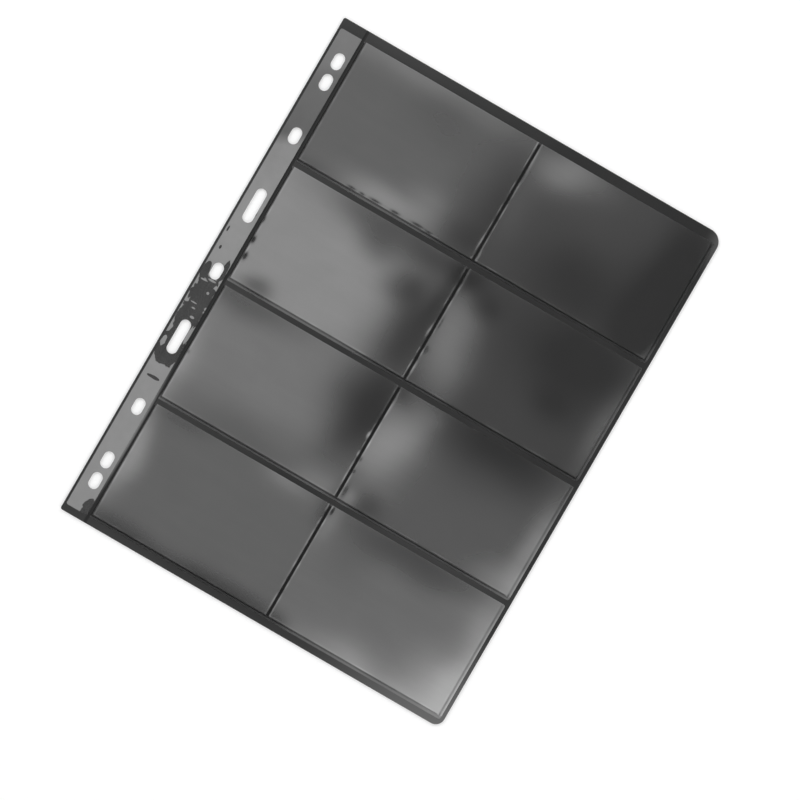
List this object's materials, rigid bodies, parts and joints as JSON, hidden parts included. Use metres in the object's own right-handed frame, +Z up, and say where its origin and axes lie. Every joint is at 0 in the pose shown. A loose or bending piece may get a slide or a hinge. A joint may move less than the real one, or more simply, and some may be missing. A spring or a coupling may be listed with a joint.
{
  "type": "album refill page",
  "caption": "Loose-leaf album page for coins and cards: clear welded pockets on both faces of a black sheet, with ring slots along its binding edge.",
  "frame": {"origin": "centre of the page's underside", "axes": "+Z up out of the front face, +Y up the page to its top edge, -X to the binding edge"},
  "size_m": [0.22, 0.285, 0.0017],
  "materials": {
    "interleaf": "satin black sheet",
    "pocket_film": "clear soft film, glossy",
    "binding_film": "clear soft film, glossy",
    "welded_seam": "fused film, glossy"
  },
  "bodies": {
    "panel": {"base_panel": "interleaf", "pocket_film_front_1": "pocket_film", "pocket_film_front_2": "pocket_film", "pocket_film_front_3": "pocket_film", "pocket_film_front_4": "pocket_film", "pocket_film_back_1": "pocket_film", "pocket_film_back_2": "pocket_film", "pocket_film_back_3": "pocket_film", "pocket_film_back_4": "pocket_film", "side_seams_front": "welded_seam", "bottom_seams_front": "welded_seam", "side_seams_back": "welded_seam", "bottom_seams_back": "welded_seam"},
    "margin": {"base_margin": "interleaf", "binding_strip_front": "binding_film", "binding_strip_back": "binding_film"}
  },
  "joints": [
    {"name": "page_turn", "type": "hinge", "parent": "panel", "child": "margin", "pos_m": [-0.09595, 0, 0.00085], "axis": [0, 1, 0], "range_deg": [-90, 90], "stiffness_Nm_per_rad": 0.08}
  ]
}
